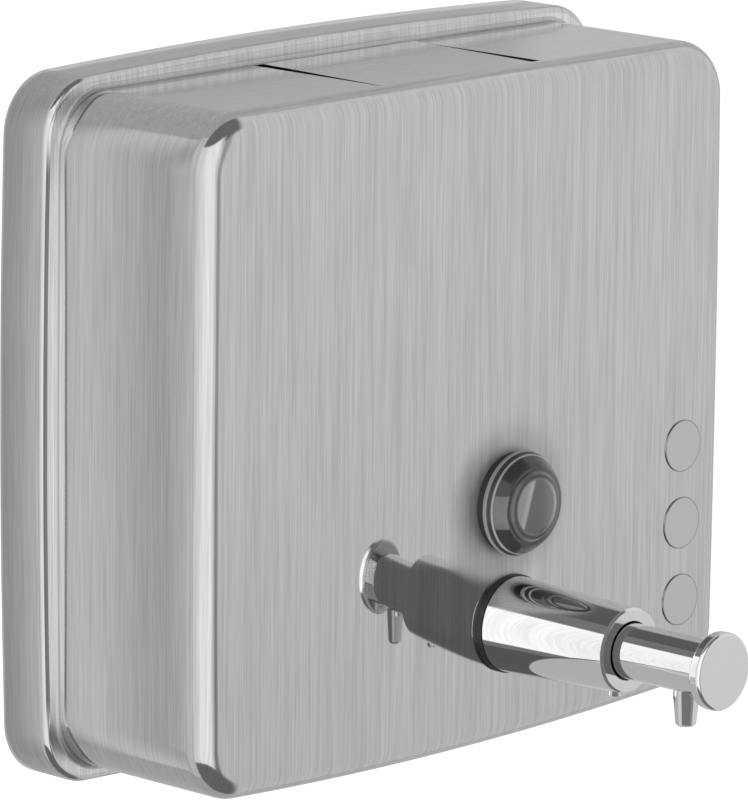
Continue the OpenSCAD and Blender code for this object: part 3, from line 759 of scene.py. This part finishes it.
# Pieces that keep their CAD form
KEPT = {
    "back_panel": MILL, "hanger_rail": MILL, "wall_plate": MILL, "filler_frame": MILL, "lid_hinge_pin": MILL,
    "lock_screw": SCREW, "return_spring": SCREW, "inlet_ball": SCREW,
    "sight_washer": RUBBER, "valve_washer": RUBBER, "gland_ring": RUBBER, "piston_seal": RUBBER,
    "outlet_valve": RUBBER, "guide_bush": BLACK,
    "sight_nut": WHITE, "valve_nut": WHITE, "pump_cylinder": WHITE, "piston": WHITE, "inlet_body": WHITE,
    "suction_tube": WHITE, "filler_lid": STEEL,
}
for node, finish in KEPT.items():
    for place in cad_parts[node].material_slots:
        place.material = finish

body_shell(STEEL, STEP, FILLET, PANEL, EDGE)

# Roundings of turned edges
SHARP = 0.0
CRISP = 0.1 * MM
FINE = 0.15 * MM
SLIGHT = 0.2 * MM
EASY = 0.25 * MM
SMOOTH = 0.3 * MM
SOFT = 0.35 * MM
FULL = 0.4 * MM

# The valve: black foot ring, sleeve with its screw, plunger, button and nozzle. Lengths run out of the panel.
SLEEVE_BORE_R = 8.15 * MM
FOOT_RING_R = 11.3 * MM
FOOT_RING_T = 1.4 * MM
SLEEVE_BASE_R = 11.0 * MM
SLEEVE_BASE_CUT = 0.3 * MM
SLEEVE_FRONT_R = 9.7 * MM
SLEEVE_FRONT = 36.4 * MM
SLEEVE_FRONT_CUT = 0.5 * MM
SLEEVE_HOLE_R = 6.7 * MM
SLEEVE_WALL = 2.0 * MM
SCREW_OUT = 31.9 * MM
SCREW_R = 1.5 * MM
SCREW_TOP = 8.05 * MM
SCREW_END = 11.1 * MM
SCREW_SOCKET_R = 0.7 * MM
SCREW_SOCKET_FLOOR = 10.2 * MM
PLUNGER_R = 6.35 * MM
PLUNGER_BORE_R = 5.05 * MM
PLUNGER_BACK = 20.0 * MM
BUTTON_R = 8.8 * MM
BUTTON_BACK = 60.6 * MM
BUTTON_FACE = 63.8 * MM
BUTTON_ROUND = 0.9 * MM
BUTTON_PLUG_R = 5.03 * MM
BUTTON_PLUG_BACK = 56.6 * MM
NOZZLE_OUT = 52.9 * MM
NOZZLE_BORE_R = 1.6 * MM
NOZZLE_NECK_R = 2.4 * MM
NOZZLE_TOP = 5.05 * MM
NOZZLE_COLLAR_R = 2.9 * MM
NOZZLE_COLLAR_TOP = 5.35 * MM
NOZZLE_COLLAR_END = 7.15 * MM
NOZZLE_END_R = 2.35 * MM
NOZZLE_END = 14.0 * MM
NOZZLE_END_CUT = 0.5 * MM

front_piece("valve_foot_ring", [
    (SLEEVE_BORE_R, 0, SHARP), (FOOT_RING_R, 0, CRISP), (FOOT_RING_R, FOOT_RING_T, SOFT),
    (SLEEVE_BORE_R, FOOT_RING_T, SHARP)],
    VALVE_Z, RUBBER, "tank", "black_rubber", "valve_gasket")
front_piece("sleeve", [
    (SLEEVE_BORE_R, FOOT_RING_T, SHARP), (SLEEVE_BASE_R - SLEEVE_BASE_CUT, FOOT_RING_T, CRISP),
    (SLEEVE_BASE_R, FOOT_RING_T + SLEEVE_BASE_CUT, FINE),
    (SLEEVE_FRONT_R, SLEEVE_FRONT - SLEEVE_FRONT_CUT, EASY),
    (SLEEVE_FRONT_R - SLEEVE_FRONT_CUT, SLEEVE_FRONT, EASY), (SLEEVE_HOLE_R, SLEEVE_FRONT, FINE),
    (SLEEVE_HOLE_R, SLEEVE_FRONT - SLEEVE_WALL, SHARP), (SLEEVE_BORE_R, SLEEVE_FRONT - SLEEVE_WALL, SHARP),
    (SLEEVE_BORE_R, FOOT_RING_T, SHARP)],
    VALVE_Z, CHROME, "tank", "chrome", "valve_housing")
hanging_piece("sleeve_screw", [
    (SCREW_R, SCREW_TOP, SHARP), (SCREW_R, SCREW_END, SMOOTH), (SCREW_SOCKET_R, SCREW_END, CRISP),
    (SCREW_SOCKET_R, SCREW_SOCKET_FLOOR, SHARP), (0, SCREW_SOCKET_FLOOR, SHARP)],
    SCREW_OUT, CHROME, "tank", "chrome", "housing_set_screw")
front_piece("plunger", [
    (PLUNGER_BORE_R, PLUNGER_BACK, SHARP), (PLUNGER_R, PLUNGER_BACK, CRISP), (PLUNGER_R, BUTTON_BACK, SHARP),
    (PLUNGER_BORE_R, BUTTON_BACK, SHARP), (PLUNGER_BORE_R, PLUNGER_BACK, SHARP)],
    VALVE_Z, CHROME, "plunger", "chrome", "plunger_tube")
front_piece("button", [
    (0, BUTTON_PLUG_BACK, SHARP), (BUTTON_PLUG_R, BUTTON_PLUG_BACK, SLIGHT),
    (BUTTON_PLUG_R, BUTTON_BACK, SHARP),
    (BUTTON_R, BUTTON_BACK, BUTTON_ROUND), (BUTTON_R, BUTTON_FACE, BUTTON_ROUND), (0, BUTTON_FACE, SHARP)],
    VALVE_Z, CHROME, "plunger", "chrome", "push_button")
hanging_piece("nozzle", [
    (NOZZLE_BORE_R, NOZZLE_TOP, SHARP), (NOZZLE_NECK_R, NOZZLE_TOP, SHARP),
    (NOZZLE_NECK_R, NOZZLE_COLLAR_TOP, SHARP), (NOZZLE_COLLAR_R, NOZZLE_COLLAR_TOP, SHARP),
    (NOZZLE_COLLAR_R, NOZZLE_COLLAR_END, SLIGHT), (NOZZLE_END_R, NOZZLE_END - NOZZLE_END_CUT, FINE),
    (NOZZLE_END_R - NOZZLE_END_CUT, NOZZLE_END, SLIGHT), (NOZZLE_BORE_R, NOZZLE_END, SHARP),
    (NOZZLE_BORE_R, NOZZLE_TOP, SHARP)],
    NOZZLE_OUT, CHROME, "plunger", "chrome", "spout")

# The level window: foot ring, flange, ledge, cone, lip, groove and dished face. Lengths run out of the panel.
WINDOW_RING_R = 11.4 * MM
WINDOW_RING_BORE_R = 7.65 * MM
WINDOW_RING_T = 2.0 * MM
STEM_R = 7.5 * MM
STEM_BORE_R = 5.5 * MM
STEM_END = -9.5 * MM
FLANGE_R = 12.1 * MM
FLANGE_FOOT_R = 11.8 * MM
FLANGE_LOW = 2.4 * MM
FLANGE_HIGH = 3.03 * MM
LEDGE_R = 11.6 * MM
LEDGE_LOW = 3.33 * MM
LEDGE_HIGH = 3.82 * MM
CONE_R = 11.3 * MM
CONE_LOW = 4.42 * MM
SHOULDER_R = 9.6 * MM
SHOULDER_HIGH = 6.6 * MM
LIP_R = 9.0 * MM
LIP_HIGH = 7.0 * MM
GROOVE_R = 8.3 * MM
GROOVE_FLOOR = 6.9 * MM
BOSS_R = 7.4 * MM
BOSS_HIGH = 7.7 * MM
FACE_R = 6.3 * MM
DISH_R = 6.0 * MM
DISH_FLOOR = 7.4 * MM
CROWN_INSIDE = 5.2 * MM

front_piece("window_foot_ring", [
    (WINDOW_RING_BORE_R, 0, SHARP), (WINDOW_RING_R, 0, CRISP), (WINDOW_RING_R, WINDOW_RING_T, SMOOTH),
    (WINDOW_RING_BORE_R, WINDOW_RING_T, SHARP)],
    WINDOW_Z, RUBBER, "tank", "black_rubber", "sight_gasket")
front_piece("window", [
    (STEM_BORE_R, STEM_END, SHARP), (STEM_R, STEM_END, SMOOTH), (STEM_R, WINDOW_RING_T, SHARP),
    (FLANGE_FOOT_R, WINDOW_RING_T, CRISP), (FLANGE_R, FLANGE_LOW, FINE), (FLANGE_R, FLANGE_HIGH, FINE),
    (LEDGE_R, LEDGE_LOW, FINE), (LEDGE_R, LEDGE_HIGH, FINE), (CONE_R, CONE_LOW, SLIGHT),
    (SHOULDER_R, SHOULDER_HIGH, FULL), (LIP_R, LIP_HIGH, SLIGHT), (GROOVE_R, GROOVE_FLOOR, FINE),
    (BOSS_R, BOSS_HIGH, SLIGHT), (FACE_R, BOSS_HIGH, SLIGHT), (DISH_R, DISH_FLOOR, CRISP),
    (0, DISH_FLOOR, SHARP), (0, CROWN_INSIDE, SHARP), (STEM_BORE_R, CROWN_INSIDE, SHARP),
    (STEM_BORE_R, STEM_END, SHARP)],
    WINDOW_Z, CLEAR, "tank", "clear_plastic", "sight_lens")

# Three blank discs
DISC_COUNT = 3
DISC_X = 71.1 * MM
DISC_TOP_Z = -17.9 * MM
DISC_PITCH = 18.25 * MM
DISC_R = 6.1 * MM
DISC_T = 0.2 * MM
DISC_EDGE_W = 0.25 * MM
DISC_COAT, DISC_EDGE_COAT = range(2)

discs = Skin()
for i in range(DISC_COUNT):
    middle = Vector((DISC_X, -BODY_DEPTH, DISC_TOP_Z - i * DISC_PITCH))
    face_r = DISC_R - DISC_EDGE_W
    discs.coat = DISC_EDGE_COAT
    edge = [(DISC_R, 0, SHARP), (DISC_R, DISC_T, CRISP), (face_r, DISC_T, SHARP)]
    turn_piece(discs, edge, middle, OUT, RIGHT)
    discs.coat = DISC_COAT
    turn_piece(discs, [(face_r, DISC_T, SHARP), (0, DISC_T, SHARP)], middle, OUT, RIGHT)
discs.piece("blank_discs", [DISC, DISC_EDGE], "tank", "blank_disc", "label_discs")


# Studio: white floor, a grey wall card and a soft box that only reflections see, and the surroundings

class Light(Nodes):
    """A material that only shines."""

    def __init__(self, name):
        self.material = bpy.data.materials.new(name)
        self.material.use_nodes = True
        super().__init__(self.material.node_tree)
        self.tree.nodes.clear()

    def shine(self, strength, clear=False):
        """Light of a strength, on top of what is behind it where it is clear."""
        glowing = self.add("ShaderNodeEmission", sockets={"Strength": strength})
        if clear:
            behind = self.add("ShaderNodeBsdfTransparent")
            glowing = self.add("ShaderNodeAddShader", sockets={0: glowing, 1: behind})
        self.add("ShaderNodeOutputMaterial", sockets={"Surface": glowing})


def card(name, points, faces, finish):
    mesh = bpy.data.meshes.new(name)
    mesh.from_pydata(points, [], faces)
    mesh.materials.append(finish)
    obj = bpy.data.objects.new(name, mesh)
    bpy.context.scene.collection.objects.link(obj)
    obj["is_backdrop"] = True
    return obj


def reflected(obj):
    """A card that only reflections see."""
    obj.visible_camera = False
    obj.visible_diffuse = False
    obj.visible_shadow = False
    obj.visible_transmission = False
    return obj


FLOOR_Z = -0.35
FLOOR_REACH = 14.0
FLOOR_WHITE = 0.9
FLOOR_ROUGHNESS = 0.9
FLOOR_GLOW = 0.6
FLOOR_GRAIN = 3
FLOOR_TINT = 0.01

floor_finish = Finish(
    "floor_white", (FLOOR_WHITE, FLOOR_WHITE, FLOOR_WHITE), FLOOR_ROUGHNESS, Emission_Strength=FLOOR_GLOW)
floor_finish.set("Emission Color", WHITE_LIGHT)
floor_finish.tint(1.0 + FLOOR_TINT * floor_finish.grain(FLOOR_GRAIN, FLOOR_GRAIN, FLOOR_GRAIN))
floor_corners = [(x * FLOOR_REACH, y * FLOOR_REACH, FLOOR_Z) for x, y in ((-1, -1), (1, -1), (1, 1), (-1, 1))]
floor = card("floor", floor_corners, [(0, 1, 2, 3)], floor_finish.material)
floor.visible_glossy = False

# The wall that the dispenser hangs on, seen in its sides: dark close to the rim, light a little further out
WALL_REACH = 1.2
WALL_GAP = 1.0 * MM
WALL_BEHIND = 0.5 * MM
WALL_NEAR = (0.0, 0.016, 0.47, 0.81)
WALL_FALL = (0.016, 0.046, 0.0, -0.25)
WALL_RISE = (0.042, 0.052, 0.0, 0.22)
WALL_ABOVE = (0.0, 0.012, 0.49, 0.55)
WALL_CORNER = (-0.002, 0.002)
WALL_CORNER_LEAN = 2.0
WALL_CORNER_UP = 0.003
WALL_RIGHT = (RIM_HALF_W - 0.02, RIM_HALF_W)
WALL_RIGHT_LIGHT = 0.62

wall_skin = Skin()
near = wall_skin.row(on_outline(RIM_LINE, WALL_GAP, -WALL_BEHIND), outline_normals(RIM_LINE, 0, 1))
far = wall_skin.row(on_outline(RIM_LINE, WALL_REACH, -WALL_BEHIND), outline_normals(RIM_LINE, 0, 1))
wall_skin.band(near, far)
wall_light = Light("wall_card")
x = wall_light.part("Object", "X")
beside = x.size() - RIM_HALF_W
above = wall_light.part("Object", "Z").size() - RIM_HALF_H
side_light = beside.ramp(*WALL_NEAR) + beside.ramp(*WALL_FALL) + beside.ramp(*WALL_RISE)
from_top = (above - WALL_CORNER_LEAN * beside - WALL_CORNER_UP).ramp(*WALL_CORNER)
left_light = blend(side_light, above.ramp(*WALL_ABOVE), from_top)
wall_light.shine(blend(left_light, WALL_RIGHT_LIGHT, x.ramp(*WALL_RIGHT)))
reflected(card("wall_card", wall_skin.points, wall_skin.faces, wall_light.material))

# A big soft box behind the camera, to the left, that the steel sees and the polished sleeve doesn't. Seen in
# the steel and then in the sleeve, it is brighter in its middle and dark at its top and bottom.
BOX_REACH = 1.2
BOX_AZIMUTHS = (-99, 2)
BOX_HEIGHTS = (-36, 46)
BOX_STEPS = 24
BOX_LEFT = (math.radians(-105), math.radians(-45), 0.58, 1.10)
BOX_RIGHT = (math.radians(-16), math.radians(3), 0.0, -0.85)
BOX_BAND_BOTTOM = (-0.60, -0.55)
BOX_BAND_TOP = (0.60, 0.66, 1.0, 0.0)
BOX_BAND_LIGHT = (0.0, 1.0, 0.15, 1.9)
BOX_SECOND = (1.0, 2.0)
BOX_UNSEEN_BY = ("sleeve", "plunger", "nozzle", "sleeve_screw")


def sky(azimuth, height, reach):
    """A point in a direction, in degrees: azimuth to the right of straight out from the wall, and height."""
    turn, rise = math.radians(azimuth), math.radians(height)
    return Vector((math.sin(turn) * math.cos(rise), -math.cos(turn) * math.cos(rise), math.sin(rise))) * reach


def spread(ends, steps):
    return [ends[0] + (ends[1] - ends[0]) * i / steps for i in range(steps + 1)]


box_skin = Skin()
last = None
for height in spread(BOX_HEIGHTS, BOX_STEPS):
    points = [sky(azimuth, height, BOX_REACH) for azimuth in spread(BOX_AZIMUTHS, BOX_STEPS)]
    here = box_skin.row(points, [-point for point in points])
    if last:
        box_skin.band(last, here, False)
    last = here
box_light = Light("soft_box")
azimuth = box_light.part("Object", "X").bearing(0.0 - box_light.part("Object", "Y"))
across = azimuth.ramp(*BOX_LEFT) + azimuth.ramp(*BOX_RIGHT)
z = box_light.part("Object", "Z")
band = z.ramp(*BOX_BAND_BOTTOM) * z.ramp(*BOX_BAND_TOP)
second = box_light.add("ShaderNodeLightPath", output="Glossy Depth").ramp(*BOX_SECOND)
box_light.shine(across * blend(1.0, band.ramp(*BOX_BAND_LIGHT), second), clear=True)
box = reflected(card("soft_box", box_skin.points, box_skin.faces, box_light.material))
seen_by = bpy.data.collections.new("seen_by_soft_box")
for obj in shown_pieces():
    if obj.name not in BOX_UNSEEN_BY:
        seen_by.objects.link(obj)
box.light_linking.receiver_collection = seen_by

# Surroundings: light at the right, which the front panel mirrors, dim above, below and under the soft box
PANEL_LIGHT = (-0.27, -0.15, 0.77, 0.86)
GAP_LIGHT = (-0.26, -0.17, 0.32, 0.50)
BESIDE_BOX = (math.radians(-6), math.radians(3))
TO_RIGHT = (math.radians(18), math.radians(27))
NOT_FAR_RIGHT = (0.46, 0.62, 1.0, 0.0)
OVERHEAD = (0.45, 0.62)
BELOW = (-0.60, -0.45, 1.0, 0.0)
BEHIND = (-0.05, 0.15)
DIM_LIGHT = 0.22
BELOW_LIGHT = 0.20
BEHIND_LIGHT = 0.7

world = bpy.data.worlds.new("studio")
bpy.context.scene.world = world
world.use_nodes = True
studio = Nodes(world.node_tree)
x, y, z = [studio.part("Generated", axis) for axis in "XYZ"]
azimuth = x.bearing(0.0 - y)
left = blend(DIM_LIGHT, z.ramp(*GAP_LIGHT), azimuth.ramp(*BESIDE_BOX))
level = blend(left, z.ramp(*PANEL_LIGHT), azimuth.ramp(*TO_RIGHT))
not_far_right = x.ramp(*NOT_FAR_RIGHT)
front = blend(level, DIM_LIGHT, z.ramp(*OVERHEAD) * not_far_right)
front = blend(front, BELOW_LIGHT, z.ramp(*BELOW) * not_far_right)
background = world.node_tree.nodes["Background"]
studio.feed(background.inputs["Strength"], blend(front, BEHIND_LIGHT, y.ramp(*BEHIND)))
studio.feed(background.inputs["Color"], WHITE_LIGHT)

# Camera, fitted to the photograph's outlines
YAW = math.radians(46.644)
PITCH = math.radians(11.831)
ROLL = math.radians(0.584)
DISTANCE = 1.502066
TARGET = Vector((-0.01302, -0.040, 0.002254))
FOCAL_PIXELS = 6723.354
FRAME_HEIGHT = 800
SENSOR = 36.0
SIGHT_END = 100.0

towards = Vector((-math.sin(YAW) * math.cos(PITCH), -math.cos(YAW) * math.cos(PITCH), math.sin(PITCH)))
right = (-towards).cross(Vector((0, 0, 1))).normalized()
up = right.cross(-towards)
rolled_right = right * math.cos(ROLL) + up * math.sin(ROLL)
rolled_up = up * math.cos(ROLL) - right * math.sin(ROLL)
lens = bpy.data.cameras.new("camera")
lens.sensor_width = SENSOR
lens.lens = SENSOR * FOCAL_PIXELS / FRAME_HEIGHT
lens.clip_end = SIGHT_END
camera = bpy.data.objects.new("camera", lens)
turned = Matrix((rolled_right, rolled_up, towards)).transposed()
camera.matrix_world = Matrix.Translation(TARGET + DISTANCE * towards) @ turned.to_4x4()
bpy.context.scene.collection.objects.link(camera)
bpy.context.scene.camera = camera
bpy.context.scene.view_settings.view_transform = "Standard"

boxes = {"cad": cad_box, "visual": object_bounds()}
{name: [list(corner) for corner in box] for name, box in boxes.items()}
